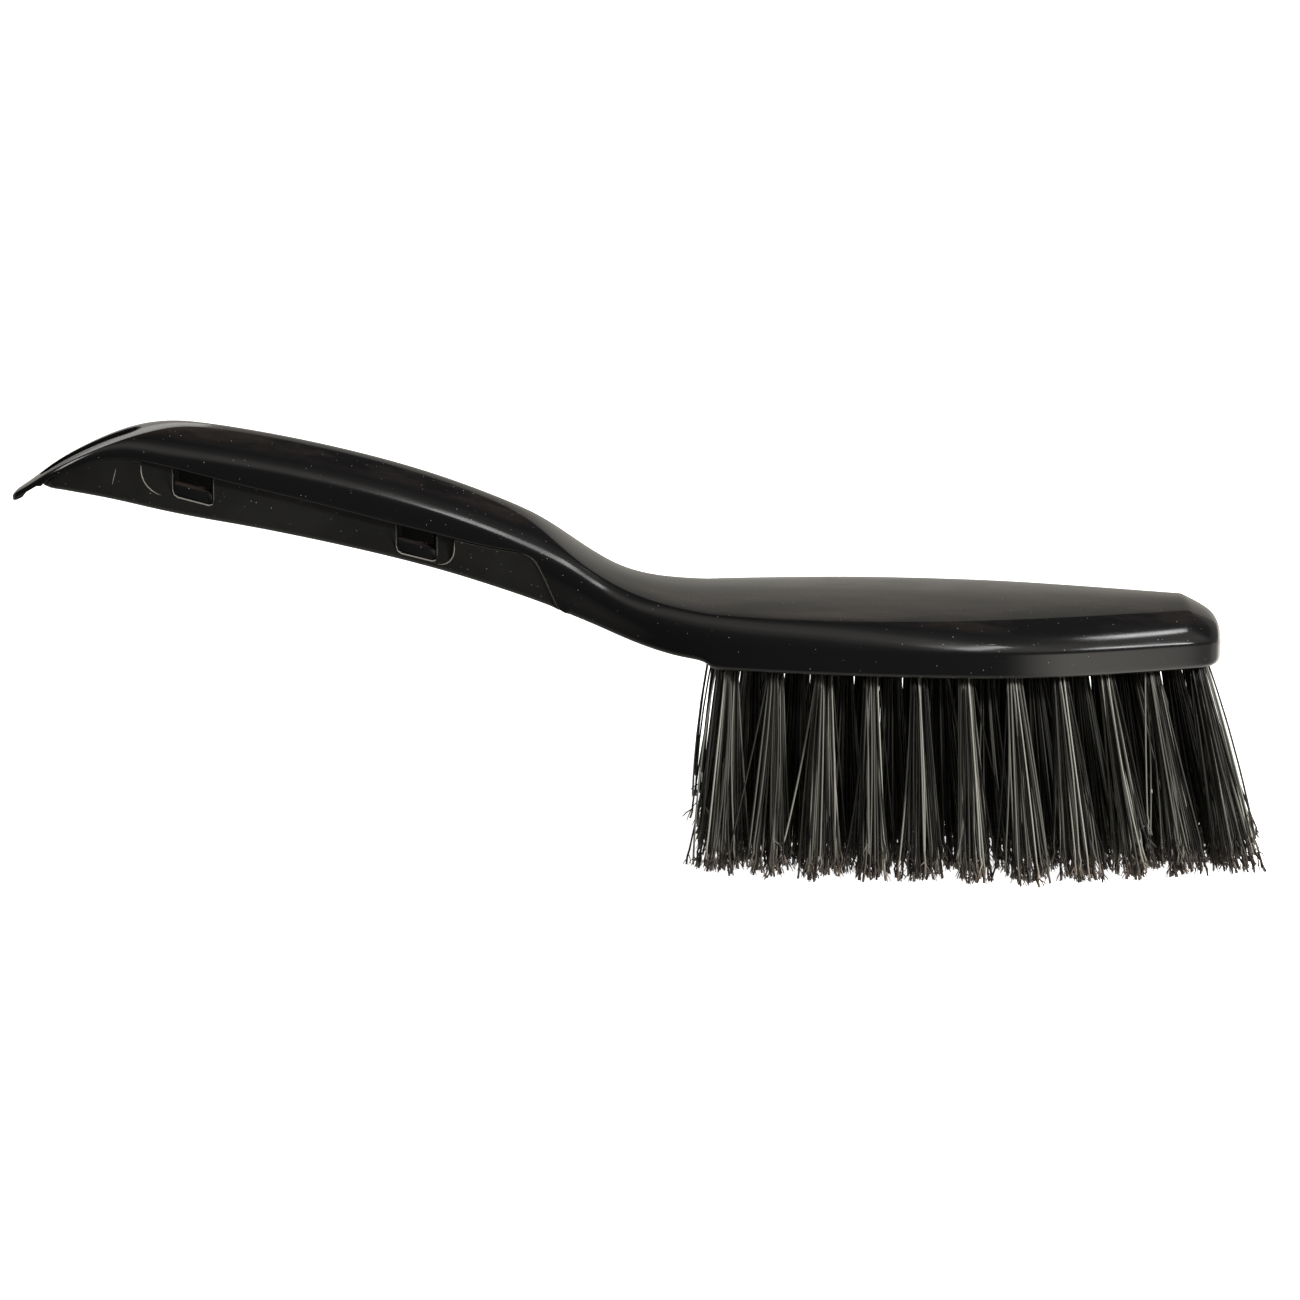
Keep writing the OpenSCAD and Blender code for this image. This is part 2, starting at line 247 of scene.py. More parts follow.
def prism(bm: BMesh, corners: Sequence[Vector], along: Vector) -> list[BMVert]:
    """Adds a closed prism.

    Args:
        bm: The bmesh it is added to.
        corners: The outline of its first face.
        along: The way and the length that the face is extruded.

    Returns:
        The prism's vertices.
    """
    start = bmesh.ops.create_circle(bm, cap_ends=True, segments=len(corners), radius=1.0)["verts"]
    for vert, corner in zip(start, corners):
        vert.co = corner
    face = next(f for f in bm.faces if set(f.verts) == set(start))
    grown = bmesh.ops.extrude_face_region(bm, geom=[face], use_keep_orig=True)["geom"]
    fresh = [item for item in grown if isinstance(item, BMVert)]
    bmesh.ops.translate(bm, verts=fresh, vec=along)
    bmesh.ops.recalc_face_normals(bm, faces=bm.faces)
    return [*start, *fresh]


def round_off(bm: BMesh, edges: Sequence[BMEdge], radius: float, segments: int) -> None:
    """Bevels edges to a round."""
    bmesh.ops.bevel(
        bm, geom=edges, offset=radius, offset_type="OFFSET", segments=segments, profile=0.5,
        affect="EDGES", clamp_overlap=True, material=-1,
    )


def round_rims(piece: Object, chosen: Callable[[Sequence[Vector]], bool], crease: float, radius: float,
               segments: int) -> None:
    """Rounds some of a finished piece's creased edges.

    Args:
        piece: The piece.
        chosen: Says, from an edge's two ends in millimetres, whether it is rounded.
        crease: Least angle in degrees between the edge's two faces.
        radius: Size of the round in millimetres.
        segments: Facets of the round.
    """
    bm = bmesh.new()
    bm.from_mesh(piece.data)
    bmesh.ops.remove_doubles(bm, verts=bm.verts, dist=1e-6)
    rims = [
        edge for edge in bm.edges
        if len(edge.link_faces) == 2 and edge.calc_face_angle() >= math.radians(crease)
        and chosen([vert.co / MM for vert in edge.verts])
    ]
    round_off(bm, rims, radius * MM, segments)
    bm.to_mesh(piece.data)
    bm.free()


def rounded_slot(length: float, width: float, steps: int = 12) -> list[Point]:
    """Outline of a slot with round ends, centred on the origin, long along its first axis."""
    r, reach = width / 2, (length - width) / 2
    outline = []
    for side in (1, -1):
        for k in range(steps + 1):
            turn = math.radians(-90 + 180 * k / steps)
            outline.append((side * (reach + r * math.cos(turn)), side * r * math.sin(turn)))
    return outline


# --------------------------------------------------------------------------------------------- finishes


class Surface(Enum):
    """How a moulded surface left its tool."""

    POLISHED = "polished"
    SATIN = "satin"


def mm_coordinates(tree: NodeTree) -> Node:
    """Object coordinates counted in millimetres."""
    place = add_node(tree, "TexCoord").outputs["Object"]
    return add_node(tree, "VectorMath", {"operation": "SCALE", "Scale": 1 / MM, 0: place})


def start_material(name: str) -> tuple[Material, NodeTree, Node]:
    """Makes an empty material. Returns it, its tree and its Principled shader."""
    material = bpy.data.materials.new(name)
    material.use_nodes = True
    tree = material.node_tree
    tree.nodes.clear()
    shader = add_node(tree, "BsdfPrincipled")
    add_node(tree, "OutputMaterial", {"Surface": shader})
    return material, tree, shader


@dataclass(frozen=True)
class MouldedPolypropylene:
    """Injection-moulded black polypropylene: deep black, with the soft mirror of its polished tool.

    The gloss is broken by a faint flow texture, a few hairline scratches, specks of pale dust, and soft warm
    patches on upward faces that are partly settled dust and partly painted sheen.
    """

    name: str
    surface: Surface
    colour: str = "#0b0b0c"
    # Pale colour of the dust specks and scratches. The insert's beads also get it as a painted highlight.
    dust_and_sheen_colour: str = "#9a978f"
    dust_and_sheen_roughness: float = 0.75
    ior: float = 1.49
    roughness: float = 0.15
    flow_mm: float = 14.0
    grain_mm: float = 0.55
    grain_depth_mm: float = 0.0018
    speck_spacing_mm: float = 1.2
    speck_radius_mm: float = 0.115
    speck_patch_mm: float = 24.0
    speck_crowding: Point = (1.02, 1.45)
    # Soft warm patches on upward faces: partly settled dust, partly painted sheen that lightens the tops.
    top_patch_mm: float = 26.0
    top_patch_stretch: float = 0.35
    top_patch_cover: Point = (0.46, 0.72)
    top_patch_facing_up: Point = (0.75, 0.97)
    top_dust_and_sheen_colour: str = "#302a26"
    scratch_spacing_mm: float = 3.4
    scratch_width_mm: float = 0.09
    scratch_stretch: float = 0.03
    scratch_turn: tuple[float, float, float] = (0.2, 0.35, 0.25)
    scratch_strength: float = 0.35
    weld_line_mm: float = 97.6
    weld_half_mm: float = 0.5
    weld_height_mm: Point = (61.6, 62.4)
    weld_relief: float = -4.0

    def specks(self, tree: NodeTree, place: Node) -> Node:
        """Mask of dust specks: small dots, one for every few cells of a random lattice."""
        cells = add_node(tree, "TexVoronoi", {"Scale": 1 / self.speck_spacing_mm, "Vector": place})
        size = self.speck_radius_mm / self.speck_spacing_mm
        near = add_node(tree, "MapRange", {"From Min": size, "From Max": 0.4 * size, "Value": cells})
        chosen = add_node(tree, "SeparateColor", {"Color": cells.outputs["Color"]})
        patch = add_node(
            tree, "TexNoise", {"Scale": 1 / self.speck_patch_mm, "Detail": 1.0, "Vector": place}
        )
        crowd = add_node(tree, "Math", {"operation": "ADD", 0: chosen, 1: patch.outputs["Fac"]})
        low, high = self.speck_crowding
        some = add_node(tree, "MapRange", {"From Min": low, "From Max": high, "Value": crowd})
        return add_node(tree, "Math", {"operation": "MULTIPLY", 0: near, 1: some})

    def scratches(self, tree: NodeTree, place: Node) -> Node:
        """Mask of short hairline scratches: the specks' lattice again, drawn out along the brush."""
        scale = (self.scratch_stretch, 1.0, 1.0)
        drawn = add_node(tree, "Mapping", {"Rotation": self.scratch_turn, "Scale": scale, "Vector": place})
        cells = add_node(tree, "TexVoronoi", {"Scale": 1 / self.scratch_spacing_mm, "Vector": drawn})
        size = self.scratch_width_mm / self.scratch_spacing_mm
        return add_node(tree, "MapRange", {
            "From Min": size, "From Max": 0.3 * size, "To Max": self.scratch_strength, "Value": cells,
        })

    def top_dust_and_sheen(self, tree: NodeTree, place: Node) -> Node:
        """Mask of soft warm patches drawn out along the brush, on upward-facing faces only: partly settled
        dust, partly painted sheen that lightens the tops.
        """
        drawn = add_node(tree, "Mapping", {"Scale": (self.top_patch_stretch, 1.0, 1.0), "Vector": place})
        patches = add_node(
            tree, "TexNoise", {"Scale": 1 / self.top_patch_mm, "Detail": 5.0, "Roughness": 0.7, "Vector": drawn}
        )
        up = add_node(tree, "SeparateXYZ", {0: add_node(tree, "TexCoord").outputs["Normal"]})
        shown, lying = (
            add_node(tree, "MapRange", {"From Min": low, "From Max": high, "Value": value})
            for (low, high), value in (
                (self.top_patch_cover, patches.outputs["Fac"]), (self.top_patch_facing_up, up.outputs["Z"]),
            )
        )
        return add_node(tree, "Math", {"operation": "MULTIPLY", 0: shown, 1: lying})

    def weld(self, tree: NodeTree, place: Node) -> Node:
        """Mask of the fine line across the head where two streams of plastic met in the tool."""
        along = add_node(tree, "SeparateXYZ", {0: place})
        away = add_node(tree, "Math", {"operation": "SUBTRACT", 0: along, 1: self.weld_line_mm})
        line = add_node(tree, "MapRange", {
            "interpolation_type": "SMOOTHSTEP", "From Min": self.weld_half_mm, "From Max": 0.0,
            "Value": add_node(tree, "Math", {"operation": "ABSOLUTE", 0: away}),
        })
        low, high = self.weld_height_mm
        level = add_node(tree, "MapRange", {"From Min": low, "From Max": high, "Value": along.outputs["Z"]})
        return add_node(tree, "Math", {"operation": "MULTIPLY", 0: line, 1: level})

    def build(self) -> Material:
        """Makes the material.

        Returns:
            The finished material.
        """
        material, tree, shader = start_material(self.name)
        place = mm_coordinates(tree)
        flow = add_node(tree, "TexNoise", {"Scale": 1 / self.flow_mm, "Detail": 3.0, "Vector": place})
        spread = 0.05 if self.surface is Surface.POLISHED else 0.09
        base = add_node(tree, "MapRange", {
            "From Min": 0.3, "From Max": 0.7, "To Min": self.roughness - spread,
            "To Max": self.roughness + spread, "Value": flow.outputs["Fac"],
        })
        dusty = add_node(tree, "Math", {
            "operation": "MAXIMUM", 0: self.specks(tree, place), 1: self.scratches(tree, place),
        })
        # Painted highlight: the beads' per-vertex share mixes the pale dust colour and roughness into them.
        bead_sheen = add_node(tree, "Attribute", {"attribute_name": "bead_sheen"})
        dust_and_sheen = add_node(tree, "Math", {"operation": "MAXIMUM", 0: dusty, 1: bead_sheen.outputs["Fac"]})
        rough = add_node(tree, "Mix", {"data_type": "FLOAT", 0: dust_and_sheen, 2: base, 3: self.dust_and_sheen_roughness})
        # Painted sheen, partly dust: warm patches lighten the upward-facing faces.
        dusted_and_sheened = add_node(tree, "Mix", {
            "data_type": "RGBA", 0: self.top_dust_and_sheen(tree, place),
            6: linear_colour(self.colour), 7: linear_colour(self.top_dust_and_sheen_colour),
        })
        shade = add_node(tree, "Mix", {
            "data_type": "RGBA", 0: dust_and_sheen, 6: dusted_and_sheened.outputs[2], 7: linear_colour(self.dust_and_sheen_colour),
        })
        grain = add_node(tree, "TexNoise", {"Scale": 1 / self.grain_mm, "Detail": 2.0, "Vector": place})
        relief = add_node(tree, "Math", {
            "operation": "MULTIPLY_ADD", 0: self.weld(tree, place), 1: self.weld_relief,
            2: grain.outputs["Fac"],
        })
        bump = add_node(
            tree, "Bump", {"Strength": 1.0, "Distance": self.grain_depth_mm * MM, "Height": relief}
        )
        feed(shader, {"IOR": self.ior, "Base Color": shade.outputs[2], "Roughness": rough, "Normal": bump})
        return material


@dataclass(frozen=True)
class NylonFilament:
    """Extruded black nylon filament: a lengthwise sheen, and ends torn to a dull brown-grey fuzz."""

    name: str = "extruded_nylon_filament"
    colours: tuple[str, str] = ("#080808", "#7a7971")
    tip_colours: tuple[str, str] = ("#1c1714", "#65574d")
    ior: float = 1.53
    roughness: float = 0.27
    tip_roughness: float = 0.6
    tip_heights_mm: Point = (9.0, 0.5)

    def build(self) -> Material:
        """Makes the material, which reads each strand's tone from a per-vertex attribute: its own random
        tone, times painted shade that darkens the inner rows.
        """
        material, tree, shader = start_material(self.name)
        height = add_node(tree, "SeparateXYZ", {0: mm_coordinates(tree)}).outputs["Z"]
        tone = add_node(tree, "Attribute", {"attribute_name": "strand_tone_and_shade"}).outputs["Fac"]
        body, torn = (
            add_node(tree, "Mix", {
                "data_type": "RGBA", 0: tone, 6: linear_colour(dark), 7: linear_colour(light),
            }).outputs[2]
            for dark, light in (self.colours, self.tip_colours)
        )
        high, low = self.tip_heights_mm
        near_tip = add_node(tree, "MapRange", {"From Min": high, "From Max": low, "Value": height})
        shade = add_node(tree, "Mix", {"data_type": "RGBA", 0: near_tip, 6: body, 7: torn})
        rough = add_node(
            tree, "MapRange", {"To Min": self.roughness, "To Max": self.tip_roughness, "Value": near_tip}
        )
        feed(shader, {"IOR": self.ior, "Base Color": shade.outputs[2], "Roughness": rough})
        return material


@dataclass(frozen=True)
class DrawnSteelWire:
    """Flat drawn steel wire, bright and finely streaked along its length."""

    name: str = "drawn_steel_wire"
    colour: str = "#b9b8b4"
    roughness: float = 0.32
    streak_mm: float = 0.08

    def build(self) -> Material:
        """Makes the material."""
        material, tree, shader = start_material(self.name)
        drawn = add_node(tree, "Mapping", {"Scale": (1.0, 0.05, 1.0), "Vector": mm_coordinates(tree)})
        streaks = add_node(tree, "TexNoise", {"Scale": 1 / self.streak_mm, "Vector": drawn})
        rough = add_node(tree, "MapRange", {
            "To Min": self.roughness - 0.1, "To Max": self.roughness + 0.1, "Value": streaks.outputs["Fac"],
        })
        feed(shader, {"Base Color": linear_colour(self.colour), "Metallic": 1.0, "Roughness": rough})
        return material


@dataclass(frozen=True)
class LightTable:
    """Matt white sheet lit from below, so that nothing on it leaves a shadow."""

    name: str = "light_table_sheet"
    colour: str = "#f4f4f4"
    glow: float = 0.95

    def build(self) -> Material:
        """Makes the material."""
        material, _, shader = start_material(self.name)
        feed(shader, {
            "Base Color": linear_colour(self.colour), "Roughness": 0.9, "Specular IOR Level": 0.0,
            "Emission Color": linear_colour("#ffffff"), "Emission Strength": self.glow,
        })
        material.cycles.emission_sampling = "NONE"
        return material


# ------------------------------------------------------------------------------------------ body shape


@dataclass(frozen=True)
class Station:
    """One cross-section of the moulding.

    Heights are above the pad face that the bristles leave, and widths are half widths.
    """

    x: float
    top: float
    top_w: float
    wide: float
    wide_w: float
    low: float
    low_w: float


@dataclass
class BrushForm:
    """The outer shape that the handle block and the grip insert share."""

    pad_height: float
    stations: Sequence[Station] = tuple(Station(*row) for row in (
        (-150.2, 36.1, 2.0, 35.8, 2.0, 35.3, 1.7), (-149.8, 37.0, 3.0, 36.2, 3.1, 34.8, 2.7),
        (-146.8, 38.7, 4.2, 37.8, 4.4, 36.7, 4.0), (-143.0, 41.5, 5.9, 40.5, 6.1, 38.6, 5.7),
        (-139.6, 43.8, 7.2, 42.6, 7.6, 38.6, 7.0), (-134.7, 46.5, 8.5, 45.0, 8.9, 38.0, 8.2),
        (-127.5, 49.8, 9.7, 47.6, 10.2, 37.0, 9.3), (-121.5, 51.9, 9.2, 47.6, 10.8, 35.8, 9.7),
        (-116.5, 53.1, 7.4, 47.2, 11.4, 34.7, 10.0), (-111.0, 53.9, 4.7, 46.6, 11.9, 33.6, 10.3),
        (-104.0, 53.6, 3.0, 46.0, 12.2, 32.3, 10.4), (-92.0, 51.9, 2.7, 44.3, 12.4, 30.4, 10.5),
        (-77.0, 49.1, 2.7, 41.5, 12.5, 27.5, 10.6), (-60.0, 45.1, 2.7, 37.5, 12.5, 23.8, 10.6),
        (-46.0, 40.8, 2.8, 33.3, 12.5, 20.2, 10.6), (-35.0, 36.6, 3.3, 29.3, 12.6, 16.8, 10.8),
        (-28.5, 33.7, 4.4, 26.6, 12.9, 14.7, 11.0), (-23.7, 30.8, 7.2, 24.2, 13.2, 13.1, 11.4),
        (-18.8, 27.0, 10.6, 21.4, 13.8, 11.4, 11.9), (-14.0, 23.3, 12.3, 18.4, 14.4, 9.6, 12.6),
        (-9.0, 20.0, 12.8, 15.4, 15.1, 7.7, 13.4), (-4.3, 17.5, 13.5, 12.9, 16.1, 5.8, 14.6),
        (0.5, 15.7, 15.0, 11.0, 17.5, 4.2, 16.3), (5.3, 14.5, 16.9, 9.5, 19.1, 3.0, 18.4),
        (10.0, 13.7, 18.8, 8.3, 21.0, 2.2, 20.7), (15.0, 13.1, 20.6, 7.3, 22.9, 1.9, 22.8),
        (16.4, 13.0, 21.1, 7.1, 23.4, 1.2, 23.4), (17.8, 12.9, 21.6, 6.9, 23.9, 0.1, 23.9),
        (19.4, 12.9, 22.1, 6.8, 24.4, 0.0, 24.4), (25.0, 12.8, 23.5, 6.6, 26.0, 0.0, 26.0),
        (35.0, 12.7, 25.2, 6.4, 27.9, 0.0, 27.9), (48.0, 12.7, 26.6, 6.2, 29.7, 0.0, 29.7),
        (61.0, 12.7, 26.6, 6.2, 30.9, 0.0, 30.9), (74.0, 12.7, 25.5, 6.2, 31.5, 0.0, 31.5),
        (86.0, 12.8, 23.6, 6.2, 31.3, 0.0, 31.3), (98.0, 12.8, 20.7, 6.2, 29.7, 0.0, 29.7),
        (109.0, 12.8, 17.4, 6.2, 26.7, 0.0, 26.7), (119.0, 12.8, 14.3, 6.2, 23.3, 0.0, 23.3),
        (127.0, 12.8, 11.6, 6.2, 20.4, 0.0, 20.4), (133.0, 12.8, 9.8, 6.1, 18.0, 0.0, 18.0),
        (137.3, 12.6, 8.4, 5.9, 15.6, 0.1, 15.6), (139.3, 12.0, 6.6, 5.5, 12.2, 0.9, 12.2),
        (139.8, 10.8, 4.0, 5.0, 8.2, 2.0, 8.2), (139.9, 9.0, 1.8, 4.6, 3.6, 3.2, 3.6),
    ))
    parting: Sequence[Point] = (
        (-143.0, 39.2), (-139.6, 42.3), (-134.7, 45.2), (-129.9, 47.5), (-127.5, 48.4), (-125.0, 48.3),
        (-122.7, 47.6), (-119.0, 46.8), (-111.0, 45.2), (-102.6, 43.1), (-95.6, 41.4), (-77.0, 37.0),
        (-58.0, 32.2), (-48.8, 30.0), (-40.6, 28.0), (-33.3, 26.6), (-28.7, 26.0), (-25.9, 25.1),
        (-24.3, 23.5), (-22.7, 20.4), (-21.0, 16.6), (-19.4, 12.9), (-18.4, 10.8), (-17.6, 9.2),
    )
    ring_step: float = 1.6
    crown: float = 0.055
    edge_angle: float = 25.0
    edge_round: float = 0.45
    low_round: float = 1.3
    facet_start: float = 131.6
    facet_slope: float = 0.42

    def at(self, u: float) -> Station:
        """Reads the form at a place along its stations, as a cubic B-spline through them.

        Args:
            u: Station number, whole or in between.

        Returns:
            The cross-section there, with heights above the bristle tips.
        """
        rows = self.stations
        i = min(int(u), len(rows) - 2)
        t = u - i
        weights = (
            (1 - t) ** 3 / 6,
            (3 * t ** 3 - 6 * t * t + 4) / 6,
            (-3 * t ** 3 + 3 * t * t + 3 * t + 1) / 6,
            t ** 3 / 6,
        )
        values = {}
        for item in fields(Station):
            column = [getattr(row, item.name) for row in rows]
            column = [2 * column[0] - column[1], *column, 2 * column[-1] - column[-2]]
            values[item.name] = sum(w * v for w, v in zip(weights, column[i:i + 4]))
        drop = max(0.0, values["x"] - self.facet_start) * self.facet_slope
        values["top"] = max(values["top"] - drop, values["wide"] + 0.5)
        for name in ("top", "wide", "low"):
            values[name] += self.pad_height
        return Station(**values)

    def find(self, x: float) -> float:
        """Returns the place along the stations whose cross-section stands at x."""
        low, high = 0.0, len(self.stations) - 1.0
        for _ in range(40):
            middle = (low + high) / 2
            low, high = (middle, high) if self.at(middle).x < x else (low, middle)
        return (low + high) / 2

    def places(self, start: float | None = None, end: float | None = None,
               extra: Iterable[float] = ()) -> list[float]:
        """Places for rings, closely and evenly spaced, from one x to another.

        Args:
            start: First x, or None for the hanging tip.
            end: Last x, or None for the nose.
            extra: Further x values that get a ring of their own.

        Returns:
            Places along the stations, in order.
        """
        first = 0.0 if start is None else self.find(start)
        last = len(self.stations) - 1.0 if end is None else self.find(end)
        found = {first, last, *(self.find(x) for x in extra)}
        for i in range(len(self.stations) - 1):
            run = math.dist(
                (self.stations[i].x, self.stations[i].top, self.stations[i].wide_w),
                (self.stations[i + 1].x, self.stations[i + 1].top, self.stations[i + 1].wide_w),
            )
            count = max(2, math.ceil(run / self.ring_step))
            found.update(i + k / count for k in range(count) if first < i + k / count < last)
        ordered = sorted(found)
        return [u for k, u in enumerate(ordered) if k == 0 or u - ordered[k - 1] > 0.02 or u == last]

    def part(self, x: float) -> float:
        """Height of the parting line at x, above the bristle tips."""
        return follow(self.parting, x) + self.pad_height

    def upper_side(self, s: Station, steps: int) -> list[Point]:
        """The rounded side, from the crisp top edge out to the widest line.

        On the head the side stops short of upright, so that the widest line is a fine ridge.
        """
        a0 = math.radians(self.edge_angle)
        a1 = math.radians(between(90.0, 78.0, smooth_step((s.x + 10) / 25)))
        side = []
        for k in range(steps + 1):
            a = between(a0, a1, (k / steps) ** 0.9)
            out = (math.sin(a) - math.sin(a0)) / (math.sin(a1) - math.sin(a0))
            up = (math.cos(a) - math.cos(a1)) / (math.cos(a0) - math.cos(a1))
            side.append((between(s.top_w, s.wide_w, out), between(s.wide, s.top, up)))
        return side

    def side_width(self, s: Station, z: float, inset: float = 0.0) -> float:
        """Half width of the side at a height between the widest line and the underside."""
        share = (s.wide - z) / max(s.wide - s.low, 0.1)
        return between(s.wide_w, s.low_w, smooth_step(share)) - inset


def whole_section(half: Sequence[Point]) -> list[Point]:
    """Closes a half outline, which starts and ends on the middle, with its mirror image."""
    return [*half, *((-y, z) for y, z in reversed(half[1:-1]))]


# ------------------------------------------------------------------------------------------ sub-assemblies


@dataclass
class HangingSlot:
    """Slot through the far end of the grip."""

    middle_x: float = -131.6
    length: float = 24.5
    width: float = 8.0
    cut_heights: Point = (20.0, 70.0)

    def cutter(self, form: BrushForm) -> BMesh:
        """A closed slot-shaped solid through the grip's end."""
        low, high = self.cut_heights
        bm = bmesh.new()
        outline = rounded_slot(self.length, self.width)
        corners = [Vector((self.middle_x + x, y, form.pad_height + low)) for x, y in outline]
        prism(bm, corners, Vector((0, 0, high - low)))
        return bm

    def holds(self, point: Vector) -> bool:
        """Says whether a point is within the slot's length and width."""
        across = self.width / 2 + 0.1
        return abs(point.x - self.middle_x) < self.length / 2 + 0.1 and abs(point.y) < across


@dataclass
class SnapWindows:
    """Two windows in each side of the insert, and the snap tab with a ramped hook in each."""

    middles: tuple[float, float] = (-106.2, -53.0)
    slopes: tuple[float, float] = (14.0, 14.5)
    length: float = 9.2
    height: float = 7.0
    tab_thickness: float = 1.6
    tab_round: float = 0.18
    hook_reach: float = 2.2
    room_w: float = 8.0

    def to_window(self, index: int, form: BrushForm) -> Matrix:
        """Placing matrix of a window, whose top and bottom follow the parting line."""
        x = self.middles[index]
        place = Matrix.Translation((x, 0, form.part(x)))
        place[2][0] = -math.tan(math.radians(self.slopes[index]))
        return place

    def cutter(self, form: BrushForm) -> BMesh:
        """Boxes through both sides of the insert, one at each pair of windows."""
        bm = bmesh.new()
        for index in range(len(self.middles)):
            half = self.length / 2
            box = bmesh.ops.create_cube(bm, size=1.0)["verts"]
            bmesh.ops.scale(bm, verts=box, vec=(2 * half, 40, self.height))
            bmesh.ops.translate(bm, verts=box, vec=(0, 0, -self.height / 2))
            bmesh.ops.transform(bm, matrix=self.to_window(index, form), verts=box)
        return bm

    def tabs(self, form: BrushForm) -> BMesh:
        """The four tabs, each a prism with a ramp above and an upright face below."""
        bm = bmesh.new()
        inner = self.room_w - 0.3
        foot, ledge = self.height - 0.12, 0.6 * self.height
        leaf = (
            (inner - self.tab_thickness, 4.0), (inner - self.tab_thickness, -foot - 1.4),
            (inner, -foot - 1.4), (inner, 4.0),
        )
        nose = (
            (inner - 0.6, 0.6 - ledge), (inner - 0.6, -foot), (inner + self.hook_reach - 0.1, -foot),
            (inner + self.hook_reach, -ledge), (inner, 0.6 - ledge),
        )
        for index in range(len(self.middles)):
            for side in (1, -1):
                for outline, half in ((leaf, self.length / 2 + 1.0), (nose, self.length / 2 - 0.1)):
                    corners = [Vector((-half, side * y, z)) for y, z in outline]
                    verts = prism(bm, corners, Vector((2 * half, 0, 0)))
                    bmesh.ops.transform(bm, matrix=self.to_window(index, form), verts=verts)
        bmesh.ops.remove_doubles(bm, verts=bm.verts, dist=0.001)
        bmesh.ops.recalc_face_normals(bm, faces=bm.faces)
        round_off(bm, bm.edges[:], self.tab_round, 2)
        return bm


@dataclass
class Tuft:
    """One bundle of filaments: where it is rooted, and the middle of its tips."""

    name: str
    root: Vector
    tip: Vector


def read_tufts() -> list[Tuft]:
    """Finds each tuft's axis from its plain CAD solid, in millimetres."""
    tufts = []
    for name in sorted(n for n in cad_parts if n.startswith("tuft_")):
        points = [v.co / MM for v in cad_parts[name].data.vertices]
        top = max(p.z for p in points)
        ends = []
        for keep in ((lambda p: p.z > top - 1.6), (lambda p: p.z < 0.05)):
            chosen = [p for p in points if keep(p)]
            lows = [min(p[k] for p in chosen) for k in range(3)]
            highs = [max(p[k] for p in chosen) for k in range(3)]
            ends.append(Vector([(a + b) / 2 for a, b in zip(lows, highs)]))
        tufts.append(Tuft(name, *ends))
    return tufts


